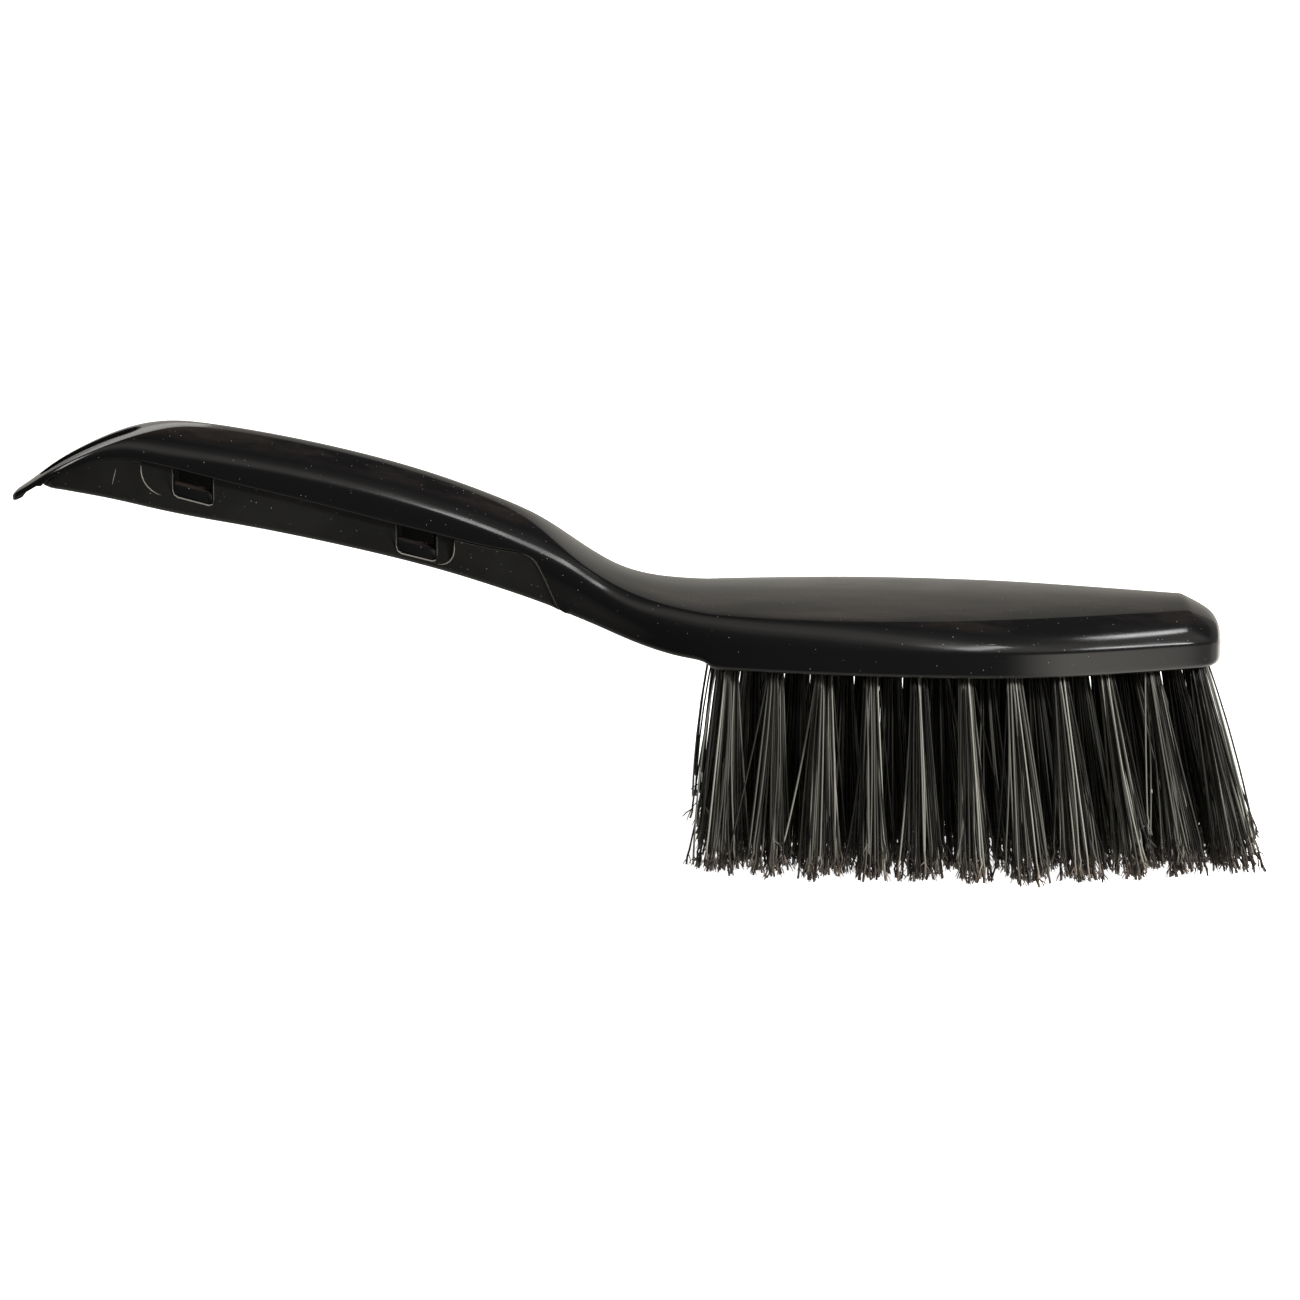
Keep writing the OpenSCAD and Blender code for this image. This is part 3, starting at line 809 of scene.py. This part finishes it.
@dataclass
class HandleBlock:
    """Head, neck, crest of the grip and hanging end: one glossy moulding."""

    form: BrushForm
    slot: HangingSlot
    windows: SnapWindows
    tufts: Sequence[Tuft]
    shell_wall: float = 2.4
    hollow: tuple[float, float] = (-112.0, -32.0)
    mouth_w: float = 9.3
    crest_room_w: float = 6.0
    slot_round: float = 0.6
    rim_crease: float = 45.0
    hole_d: float = 4.8
    hole_depth: float = 9.5
    split_end: float = -17.6
    top_steps: int = 5
    side_steps: int = 12
    low_steps: int = 7

    def section(self, u: float) -> tuple[float, list[Point]]:
        """Cross-section of the moulding at a place along the form.

        Returns:
            Its x, and its closed outline in y and z.
        """
        s = self.form.at(u)
        r = min(self.form.edge_round, s.top_w / 4)
        crest = self.form.crown * s.top_w
        side = self.form.upper_side(s, self.side_steps)
        half = [
            (y, s.top + crest * (1 - (y / s.top_w) ** 2))
            for y in ((s.top_w - r) * k / self.top_steps for k in range(self.top_steps + 1))
        ]
        into, out_of = Vector(half[-1]), Vector(side[1])
        corner = Vector((s.top_w, s.top))
        out_of = corner + (out_of - corner).normalized() * min(r, (out_of - corner).length * 0.8)
        for t in (0.33, 0.67, 1.0):
            rounded = into * (1 - t) ** 2 + corner * 2 * t * (1 - t) + out_of * t * t
            half.append((rounded.x, rounded.y))
        half += side[1:]
        half += self.lower_side(s)
        return s.x, whole_section(half)

    def lower_side(self, s: Station) -> list[Point]:
        """The rest of a half outline, from the widest line down and in to the middle."""
        on_grip = self.form.stations[2].x < s.x < self.split_end
        floor = max(self.form.part(s.x), s.low) if on_grip else s.low
        floor = min(floor, s.wide - 0.5)
        r = min(0.3 if on_grip else self.form.low_round, (s.wide - floor) / 3)
        half = []
        for k in range(1, self.low_steps + 1):
            z = between(s.wide, floor + r, k / self.low_steps)
            half.append((self.form.side_width(s, z), z))
        edge_w = self.form.side_width(s, floor + r)
        for turn in (30, 60, 90):
            a = math.radians(turn)
            half.append((edge_w - r * (1 - math.cos(a)), floor + r * (1 - math.sin(a))))
        inner = edge_w - r
        open_share = smooth_step((s.x - self.hollow[0]) / 3) * smooth_step((self.hollow[1] - s.x) / 3)
        mouth, room = min(self.mouth_w, inner * 0.85), min(self.crest_room_w, inner * 0.55)
        for y, z in (
            (mouth, floor), (mouth, s.wide + 0.6), (room, s.top - self.shell_wall),
            (0.0, s.top - self.shell_wall),
        ):
            half.append((y, between(floor, z, open_share)))
        return half

    def on_slot_rim(self, ends: Sequence[Vector]) -> bool:
        """Says whether an edge lies on the upper rim of the hanging slot."""
        if not all(self.slot.holds(end) for end in ends):
            return False
        return min(end.z for end in ends) > self.form.at(self.form.find(ends[0].x)).top - 1

    def hole_cutters(self) -> BMesh:
        """Drilled holes for the tufts, as closed cylinders along each tuft."""
        bm = bmesh.new()
        for tuft in self.tufts:
            along = (tuft.root - tuft.tip).normalized()
            mouth = tuft.root + along * ((self.form.pad_height - tuft.root.z) / along.z)
            length = self.hole_depth + 3
            turn = along.to_track_quat("Z", "Y").to_matrix().to_4x4()
            middle = Matrix.Translation(mouth + along * (self.hole_depth - length / 2))
            bmesh.ops.create_cone(
                bm, cap_ends=True, segments=24, radius1=self.hole_d / 2, radius2=self.hole_d / 2,
                depth=length, matrix=middle @ turn,
            )
        return bm

    def build(self, finish: Material) -> Object:
        """Models and dresses the moulding.

        Args:
            finish: Its material.

        Returns:
            The finished piece, riding on the root body.
        """
        bm = bmesh.new()
        places = self.form.places(extra=(self.form.facet_start,))
        rings = [self.section(u) for u in places]
        loft(bm, [x for x, _ in rings], [outline for _, outline in rings])
        piece = new_piece("handle_moulding", bm)
        carve(piece, self.slot.cutter(self.form))
        round_rims(piece, self.on_slot_rim, self.rim_crease, self.slot_round, 3)
        carve(piece, self.hole_cutters())
        join(piece, self.windows.tabs(self.form))
        smooth_with_edges(piece)
        piece.data.materials.clear()
        piece.data.materials.append(finish)
        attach(piece, ROOT)
        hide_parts("handle_block")
        return piece


@dataclass
class GripInsert:
    """The duller half of the grip that clips in from below."""

    form: BrushForm
    slot: HangingSlot
    windows: SnapWindows
    setback: float = 0.5
    gap: float = 0.2
    start_x: float = -142.6
    end_x: float = -18.9
    rim_round: float = 0.35
    hollow: tuple[float, float] = (-110.0, -34.0)
    floor: float = 2.6
    tongue_rise: float = 2.0
    tongue_w: float = 9.1
    panel_depth: float = 0.3
    panel_reach: float = 6.0
    panel_ends: tuple[float, float] = (-118.6, -44.0)
    panel_drop: float = 7.6
    panel_round: float = 5.0
    soft_edge: float = 0.28
    rim_crease: float = 50.0
    rim_out: float = 8.8
    end_round: float = 3.4
    bead_r: float = 0.17
    # Share of painted highlight, in the pale dust colour, on every bead.
    bead_sheen_share: float = 0.42
    slot_stroke: Sequence[Point] = ((-124.6, 3.6), (-124.9, 5.0), (-125.3, 6.6), (-125.6, 8.0))
    end_bead_x: float = -27.6
    end_bead_drop: float = 0.45
    side_steps: int = 6

    def section(self, u: float) -> tuple[float, list[Point]]:
        """Cross-section of the insert: a trough with a tongue along each rim."""
        s = self.form.at(u)
        rim = max(self.form.part(s.x) - self.gap, s.low + 0.4)
        share = min(max((self.start_x + self.end_round - s.x) / self.end_round, 0.0), 0.97)
        drawn_in = self.end_round * (1 - math.sqrt(1 - share * share))
        low = min(s.low + 0.1 + 0.35 * drawn_in, rim - 0.3)
        setback = self.setback + drawn_in
        r = min(self.form.low_round, (rim - low) / 3)
        open_share = smooth_step((s.x - self.hollow[0]) / 3) * smooth_step((self.hollow[1] - s.x) / 3)
        edge = min(self.rim_round, (rim - low) / 4)
        rim_w = self.form.side_width(s, rim - edge, setback)
        half = [(rim_w - edge, rim), (rim_w - 0.3 * edge, rim - 0.3 * edge)]
        for k in range(self.side_steps + 1):
            z = between(rim - edge, low + r, k / self.side_steps)
            half.append((self.form.side_width(s, z, setback), z))
        edge_w = half[-1][0]
        for turn in (22.5, 45, 67.5, 90):
            a = math.radians(turn)
            half.append((edge_w - r * (1 - math.cos(a)), low + r * (1 - math.sin(a))))
        bottom = [(edge_w * 0.5, low), (0.0, low)]
        shoulder = min(self.tongue_w, half[0][0] - 0.3)
        room = min(self.windows.room_w, half[0][0] * 0.75)
        rise = rim + self.tongue_rise * open_share
        inside = [
            (0.0, between(rim, low + self.floor, open_share)),
            (room, between(rim, low + self.floor, open_share)),
            (room, rise), (shoulder, rise), (shoulder, rim),
        ]
        right = [*inside, *half, *bottom]
        return s.x, [*right, *((-y, z) for y, z in reversed(right[1:-1]))]

    def panel_cutter(self) -> BMesh:
        """Shallow panel with round lower corners, for both sides."""
        a, b = self.panel_ends
        top = self.form.part
        drop, r = self.panel_drop, self.panel_round
        outline = [(a, top(a) + 1), (a, top(a) - drop + r)]
        for k in range(1, 7):
            turn = math.radians(90 * k / 6)
            outline.append((a + r * (1 - math.cos(turn)), top(a) - drop + r * (1 - math.sin(turn))))
        for k in range(1, 8):
            x = between(a + r, b - r, k / 8)
            outline.append((x, top(x) - drop))
        for k in range(6, -1, -1):
            turn = math.radians(90 * k / 6)
            outline.append((b - r * (1 - math.cos(turn)), top(b) - drop + r * (1 - math.sin(turn))))
        outline.append((b, top(b) + 1))
        outline += [(x, top(x) + 1) for x in (between(b, a, k / 8) for k in range(1, 8))]
        bm = bmesh.new()
        face_w = self.form.at(self.form.find(-77.0)).low_w - self.setback - self.panel_depth + 0.35
        for start in (face_w, -face_w - self.panel_reach):
            corners = [Vector((x, start, z)) for x, z in outline]
            prism(bm, corners, Vector((0, self.panel_reach, 0)))
        return bm

    def on_window_rim(self, ends: Sequence[Vector]) -> bool:
        """Says whether an edge lies on a window's outer rim, clear of the parting line."""
        reach, depth = self.windows.length / 2 + 0.1, self.windows.height + 0.1
        for index in range(len(self.windows.middles)):
            into = self.windows.to_window(index, self.form).inverted()
            if all(abs(p.x) < reach and -depth < p.z < -0.9 and abs(p.y) > self.rim_out
                   for p in (into @ end for end in ends)):
                return True
        return False

    def wall_point(self, x: float, below: float, side: int) -> Vector:
        """A point on the outside wall, a distance below the parting line."""
        s = self.form.at(self.form.find(x))
        z = self.form.part(x) - below
        return Vector((x, side * (self.form.side_width(s, z, self.setback) - 0.05), z))

    def beads(self) -> BMesh:
        """Fine raised lines on both walls, each drawn as (x, distance below the parting line) points.

        They run round each end of the panel, in a short stroke by the slot, along the insert's end and round
        the windows. Each bead vertex carries a share of the material's pale dust colour, which is a painted
        highlight along the lines.
        """
        drop, r = self.panel_drop, self.panel_round
        turns = [math.radians(15 * k) for k in range(7)]
        bend = [(r * (1 - math.cos(a)), drop - r * (1 - math.sin(a))) for a in turns]
        left, right = self.panel_ends
        lines = [
            [(left, 1.2), (left, 2.0), *((left + u, v) for u, v in bend)],
            [(right, 0.9), (right, 2.0), *((right - u * 0.8, v) for u, v in bend)],
            self.slot_stroke,
            [(between(self.end_bead_x, self.end_x, k / 12), self.end_bead_drop) for k in range(13)],
        ]
        half, depth = self.windows.length / 2 + 0.3, self.windows.height + 0.2
        rim = [(-half, 0.5), (-half, 2.4), (-half, depth - 1.6), (0.3 - half, depth - 0.5)]
        rim.append((1.2 - half, depth))
        rim = [*rim, (0.0, depth), *((-x, below) for x, below in reversed(rim))]
        lines += [[(middle + x, below) for x, below in rim] for middle in self.windows.middles]
        bm = bmesh.new()
        for line in lines:
            taper = [min(1.0, 0.3 + 0.35 * min(k, len(line) - 1 - k)) for k in range(len(line))]
            for side in (1, -1):
                path = [self.wall_point(x, below, side) for x, below in line]
                sweep(bm, path, [self.bead_r * share for share in taper])
        # Painted highlight: each bead vertex gets a share of the pale dust colour.
        bead_sheen = bm.verts.layers.float.new("bead_sheen")
        for vert in bm.verts:
            vert[bead_sheen] = self.bead_sheen_share
        return bm

    def build(self, finish: Material) -> Object:
        """Models and dresses the insert.

        Args:
            finish: Its material.

        Returns:
            The finished piece, riding on the root body.
        """
        bm = bmesh.new()
        rings = [self.section(u) for u in self.form.places(self.start_x, self.end_x)]
        loft(bm, [x for x, _ in rings], [outline for _, outline in rings])
        piece = new_piece("grip_insert_moulding", bm)
        carve(piece, self.panel_cutter())
        carve(piece, self.windows.cutter(self.form))
        round_rims(piece, self.on_window_rim, self.rim_crease, self.soft_edge, 2)
        carve(piece, self.slot.cutter(self.form))
        join(piece, self.beads())
        smooth_with_edges(piece, 25.0)
        piece.data.materials.clear()
        piece.data.materials.append(finish)
        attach(piece, ROOT)
        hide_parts("grip_insert")
        return piece


@dataclass
class FilamentBundle:
    """Loose filaments of every tuft, each a fine strand whose end is crimped, bent and torn."""

    tufts: Sequence[Tuft]
    pad_height: float
    strand_count: int = 56
    strand_d: float = 0.46
    strand_sides: int = 5
    steps: tuple[float, ...] = (0.0, 0.16, 0.34, 0.52, 0.70, 0.82, 0.89, 0.93, 0.965, 1.0)
    hole_r: float = 1.8
    spread_r: float = 5.4
    hidden_depth: float = 3.0
    ragged: float = 2.4
    crimp_start: float = 0.9
    crimp: float = 0.24
    stray_share: float = 0.05
    loose_away: Point = (0.4, 4.2)
    loose_reach: Point = (0.7, 0.97)
    loose_counts: tuple[int, int] = (3, 4)
    row_pitch: float = 9.0
    # How dark the painted shade leaves the innermost rows of tufts.
    inner_row_shade: float = 0.25
    fuzz_count: int = 2
    fuzz_d: float = 0.3
    fuzz_length: float = 3.2
    seed: int = 41

    def template(self, sides: int, rings: int) -> Mesh:
        """A straight closed strand whose rings are set along a path later, ring by ring."""
        bm = bmesh.new()
        loop = bmesh.ops.create_circle(bm, cap_ends=True, segments=sides, radius=1.0)["verts"]
        for _ in range(rings - 1):
            loop = grow_loop(bm, loop)
            bmesh.ops.translate(bm, verts=loop, vec=(0, 0, 1))
        bmesh.ops.edgeloop_fill(bm, edges=ring_edges(bm, loop))
        bmesh.ops.recalc_face_normals(bm, faces=bm.faces)
        mesh = bpy.data.meshes.new("strand")
        bm.to_mesh(mesh)
        bm.free()
        return mesh

    def lay_strand(self, bm: BMesh, template: Mesh, path: Sequence[Vector],
                   radii: Sequence[float], tone: float) -> None:
        """Adds one strand along a path.

        Args:
            bm: The tuft it belongs to.
            template: A straight strand with one ring for each point of the path.
            path: Middle of each ring.
            radii: Radius of each ring.
            tone: 0 to 1, how light the strand is: its own random tone times the painted shade of its row.
        """
        before = len(bm.verts)
        bm.from_mesh(template)
        bm.verts.ensure_lookup_table()
        layer = bm.verts.layers.float["strand_tone_and_shade"]
        across, over = sides_of(path)
        for vert in bm.verts[before:]:
            ring = round(vert.co.z)
            vert.co = path[ring] + (across * vert.co.x + over * vert.co.y) * radii[ring]
            vert[layer] = tone

    def strand_path(self, tuft: Tuft, draw: random.Random) -> list[Vector]:
        """Path of one filament, from inside its hole to its ragged tip."""
        along = (tuft.tip - tuft.root).normalized()
        mouth = tuft.root + along * ((self.pad_height - tuft.root.z) / along.z)
        start = mouth - along * self.hidden_depth
        turn, out = draw.uniform(0, 2 * math.pi), math.sqrt(draw.random())
        aside = Vector((math.cos(turn), math.sin(turn), 0)) * out
        splay = draw.gauss(1.0, 0.17)
        end = tuft.tip + Vector((draw.gauss(0, 0.7), draw.gauss(0, 0.7), 0))
        end.z = abs(draw.gauss(0, self.ragged))
        if draw.random() < self.stray_share:
            end += Vector((draw.uniform(-6, 6), draw.uniform(-4, 4), draw.uniform(0, 6)))
        bow = Vector((draw.gauss(0, 0.45), draw.gauss(0, 0.45), 0))
        path = []
        for t in self.steps:
            radius = between(self.hole_r, self.spread_r * splay, t ** 1.5)
            point = start.lerp(end, t) + aside * radius + bow * math.sin(math.pi * t)
            if t > self.crimp_start:
                point += Vector((draw.gauss(0, self.crimp), draw.gauss(0, self.crimp), 0))
            point.z = max(point.z, self.strand_d * 0.4)
            path.append(point)
        return path

    def loose_path(self, tuft: Tuft, outward: float, draw: random.Random) -> list[Vector]:
        """Path of a filament that bows out at either end of the brush.

        Args:
            tuft: The tuft that it grows from.
            outward: 1 towards the nose, -1 towards the grip.
            draw: Where its chances come from.

        Returns:
            Middle of each ring.
        """
        away, reach = draw.uniform(*self.loose_away), draw.uniform(*self.loose_reach)
        path = []
        for t in self.steps:
            point = tuft.root.lerp(tuft.tip, t * reach)
            point.x += outward * (self.hole_r * 0.9 + away * math.sin(math.pi * 0.62 * t) ** 0.8 + 1.4 * t)
            point.y -= 3.0 * t * draw.uniform(0.8, 1.0)
            path.append(point)
        return path

    def fuzz_path(self, end: Vector, heading: Vector, draw: random.Random) -> list[Vector]:
        """Path of one torn hair at a filament's end."""
        lean = Vector((draw.gauss(0, 0.42), draw.gauss(0, 0.42), 0))
        length = self.fuzz_length * draw.uniform(0.5, 1.1)
        start = end - heading * length * 0.8
        tip = start + (heading + lean).normalized() * length
        tip.z = max(tip.z, 0.15)
        middle = start.lerp(tip, 0.5) + lean * 0.3
        middle.z = max(middle.z, 0.15)
        return [start, middle, tip]

    def build(self, finish: Material) -> list[Object]:
        """Models and dresses every tuft.

        Args:
            finish: The filaments' material.

        Returns:
            One piece for each tuft, riding on the root body.
        """
        strand = self.template(self.strand_sides, len(self.steps))
        hair = self.template(3, 3)
        first, last = min(t.root.x for t in self.tufts), max(t.root.x for t in self.tufts)
        made = []
        for number, tuft in enumerate(self.tufts):
            draw = random.Random(self.seed * 1000 + number)
            row = [t.root for t in self.tufts if abs(t.root.x - tuft.root.x) < self.row_pitch]
            row_reach = max(abs(root.y) for root in row)
            # Painted shade: tufts in the inner rows are darkened where the outer rows shadow them.
            lit = between(self.inner_row_shade, 1.0, smooth_step(2.5 * abs(tuft.root.y) / row_reach - 1.2))
            bm = bmesh.new()
            bm.verts.layers.float.new("strand_tone_and_shade")
            paths = [self.strand_path(tuft, draw) for _ in range(self.strand_count)]
            if tuft.root.x < first + 2:
                paths += [self.loose_path(tuft, -1, draw) for _ in range(self.loose_counts[0])]
            if tuft.root.x > last - 2:
                paths += [self.loose_path(tuft, 1, draw) for _ in range(self.loose_counts[1])]
            for path in paths:
                tone = lit * draw.random() ** 2.4
                radii = [self.strand_d / 2 * (1.15 if t > self.crimp_start else 1.0) for t in self.steps]
                self.lay_strand(bm, strand, path, radii, tone)
                heading = (path[-1] - path[-3]).normalized()
                for _ in range(self.fuzz_count):
                    radius = self.fuzz_d / 2 * draw.uniform(0.7, 1.2)
                    self.lay_strand(
                        bm, hair, self.fuzz_path(path[-1], heading, draw),
                        [radius, radius, radius * 0.6], min(1.0, tone + draw.uniform(0.0, 0.35)),
                    )
            piece = new_piece(f"{tuft.name}_filaments", bm)
            piece.data.shade_smooth()
            piece.data.materials.append(finish)
            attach(piece, ROOT)
            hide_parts(tuft.name)
            made.append(piece)
        return made


@dataclass
class Softbox:
    """One rectangular studio light: its place and aim in metres, and its spin in degrees."""

    name: str
    place: tuple[float, float, float]
    aim: tuple[float, float, float]
    size: tuple[float, float]
    spin: float
    watts: float
    colour: str = "#ffffff"
    mirrored: bool = True

    def build(self) -> Object:
        """Adds the light."""
        light = bpy.data.lights.new(self.name, "AREA")
        light.shape = "RECTANGLE"
        light.size, light.size_y = self.size
        light.energy = self.watts
        light.color = linear_colour(self.colour)[:3]
        lamp = bpy.data.objects.new(self.name, light)
        bpy.context.scene.collection.objects.link(lamp)
        lamp.location = self.place
        lamp.rotation_mode = "QUATERNION"
        facing = (Vector(self.aim) - Vector(self.place)).to_track_quat("-Z", "Y")
        lamp.rotation_quaternion = facing @ Quaternion((0, 0, 1), math.radians(self.spin))
        lamp.visible_glossy = self.mirrored
        return lamp


@dataclass
class Studio:
    """Pale floor, soft lights and the camera, all in metres."""

    look_down: float = 12.5
    roll: float = 0.6
    distance: float = 1.3
    frame_width: float = 0.3139
    sensor: float = 36.0
    aim: tuple[float, float, float] = (0.0029, 0.0, 0.0495)
    floor_size: float = 30.0
    near_sky: Sequence[Point] = (
        (-90.0, 0.6), (-55.0, 0.5), (-40.0, 0.17), (-28.0, 0.06), (-12.0, 0.06), (6.0, 0.06), (17.0, 0.1),
        (27.0, 0.4), (37.0, 0.72), (52.0, 0.6), (62.0, 0.26), (74.0, 0.14), (90.0, 0.05),
    )
    far_sky: Sequence[Point] = (
        (-90.0, 0.6), (-4.0, 0.5), (5.0, 0.38), (12.5, 0.27), (26.0, 0.23), (33.0, 0.05), (90.0, 0.05),
    )
    sky_blend: float = 0.12
    low_panel: Sequence[tuple[str, float, float, float, float]] = (
        ("X", 0.2, 0.52, 0.0, 1.9), ("X", 0.9, 0.6, 0.25, 1.0), ("Z", 0.12, -0.05, 0.0, 1.0),
    )
    sky_colour: str = "#fffaf0"
    lights: Sequence[Softbox] = (
        Softbox("upper_strip", (0.351, -0.063, 0.5), (0.12, -0.022, 0.059), (0.08, 0.08), 52.0, 0.32),
        Softbox("lower_strip", (0.453, -0.312, 0.294), (0.12, -0.022, 0.059), (0.2, 0.06), 130.0, 0.6),
        Softbox("neck_strip", (0.211, -0.76, 0.7), (-0.02, -0.013, 0.075), (0.38, 0.07), 54.0, 0.8),
        Softbox("left_box", (-0.508, -0.294, 0.259), (-0.13, -0.009, 0.096), (0.1, 0.16), 0.0, 0.5),
        Softbox("far_left_box", (-0.245, 0.55, 0.275), (-0.125, -0.008, 0.1), (0.25, 0.15), 0.0, 0.095),
        Softbox("bristle_light", (0.95, -0.7, 0.55), (0.07, 0.0, 0.03), (0.2, 0.15), 0.0, 34.0,
                mirrored=False),
    )

    def build_camera(self) -> Object:
        """Adds the long-lens camera, a little above the brush and level with its length."""
        data = bpy.data.cameras.new("camera")
        data.sensor_width = self.sensor
        data.lens = self.sensor * self.distance / self.frame_width
        data.clip_start, data.clip_end = 0.05, 50.0
        camera = bpy.data.objects.new("camera", data)
        bpy.context.scene.collection.objects.link(camera)
        e = math.radians(self.look_down)
        back = Vector((0, -math.cos(e), math.sin(e)))
        turn = Matrix.Rotation(math.pi / 2 - e, 4, "X") @ Matrix.Rotation(math.radians(self.roll), 4, "Z")
        camera.matrix_world = Matrix.Translation(Vector(self.aim) + back * self.distance) @ turn
        bpy.context.scene.camera = camera
        return camera

    def sky_ramp(self, tree: NodeTree, share: Node, sky: Sequence[Point]) -> Node:
        """Brightness of one side of the room.

        Args:
            tree: The world's node tree.
            share: 0 straight down to 1 straight up, by the direction's height.
            sky: (elevation in degrees, level) pairs, from below to above.

        Returns:
            The ramp node.
        """
        ramp = add_node(tree, "ValToRGB", {"Fac": share})
        ramp.color_ramp.interpolation = "EASE"
        stops = ramp.color_ramp.elements
        for number, (elevation, level) in enumerate(sky):
            at = (1 + math.sin(math.radians(elevation))) / 2
            stop = stops[number] if number < 2 else stops.new(at)
            stop.position, stop.color = at, (level, level, level, 1.0)
        return ramp

    def build_room(self) -> World:
        """Adds the soft light of the room: a band of bright wall round a dark ceiling."""
        world = bpy.data.worlds.new("studio")
        world.use_nodes = True
        tree = world.node_tree
        tree.nodes.clear()
        facing = add_node(tree, "TexCoord").outputs["Generated"]
        way = add_node(tree, "SeparateXYZ", {0: facing}).outputs
        share = add_node(tree, "MapRange", {"From Min": -1.0, "Value": way["Z"]})
        near, far = (self.sky_ramp(tree, share, sky) for sky in (self.near_sky, self.far_sky))
        blend = {"From Min": -self.sky_blend, "From Max": self.sky_blend}
        beyond = add_node(tree, "MapRange", {**blend, "Value": way["Y"]})
        ramp = add_node(tree, "Mix", {"data_type": "FLOAT", 0: beyond, 2: near, 3: far})
        right, ended, low = (
            add_node(tree, "MapRange", {
                "interpolation_type": "SMOOTHSTEP", "From Min": start, "From Max": end,
                "To Min": least, "To Max": most, "Value": way[axis],
            })
            for axis, start, end, least, most in self.low_panel
        )
        panel = add_node(tree, "Math", {"operation": "MULTIPLY", 0: right, 1: ended})
        side = add_node(tree, "Math", {"operation": "MULTIPLY_ADD", 0: panel, 1: low, 2: ramp})
        glow = add_node(tree, "Background", {"Color": linear_colour(self.sky_colour), "Strength": side})
        add_node(tree, "OutputWorld", {"Surface": glow})
        bpy.context.scene.world = world
        return world

    def build(self, paper: Material) -> None:
        """Adds the floor, the lights and the camera.

        Args:
            paper: Material of the floor.
        """
        bm = bmesh.new()
        bmesh.ops.create_grid(bm, x_segments=2, y_segments=2, size=self.floor_size / 2 / MM)
        floor = new_piece("floor", bm)
        floor.data.materials.append(paper)
        floor.visible_glossy = False
        floor.visible_diffuse = False
        floor.visible_shadow = False
        self.build_room()
        for light in self.lights:
            light.build()
        self.build_camera()
        bpy.context.scene.view_settings.view_transform = "Standard"


def main() -> None:
    """Builds the stage, then each sub-assembly in the order it is put together."""
    logging.basicConfig(level=logging.INFO, format="%(name)s: %(message)s")
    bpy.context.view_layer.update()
    Studio().build(LightTable().build())
    tufts = read_tufts()
    form = BrushForm(pad_height=50.0)
    slot, windows = HangingSlot(), SnapWindows()
    glossy = MouldedPolypropylene("polished_polypropylene", Surface.POLISHED)
    dull = MouldedPolypropylene("satin_polypropylene", Surface.SATIN, colour="#0f0f0e", roughness=0.36)
    block = HandleBlock(form, slot, windows, tufts).build(glossy.build())
    LOG.info("%s: %d faces", block.name, len(block.data.polygons))
    insert = GripInsert(form, slot, windows).build(dull.build())
    LOG.info("%s: %d faces", insert.name, len(insert.data.polygons))
    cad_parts["anchor_staples"].data.materials.clear()
    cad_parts["anchor_staples"].data.materials.append(DrawnSteelWire().build())
    bundles = FilamentBundle(tufts, form.pad_height).build(NylonFilament().build())
    LOG.info("%d tufts: %d faces", len(bundles), sum(len(b.data.polygons) for b in bundles))


if __name__ == "__main__":
    main()
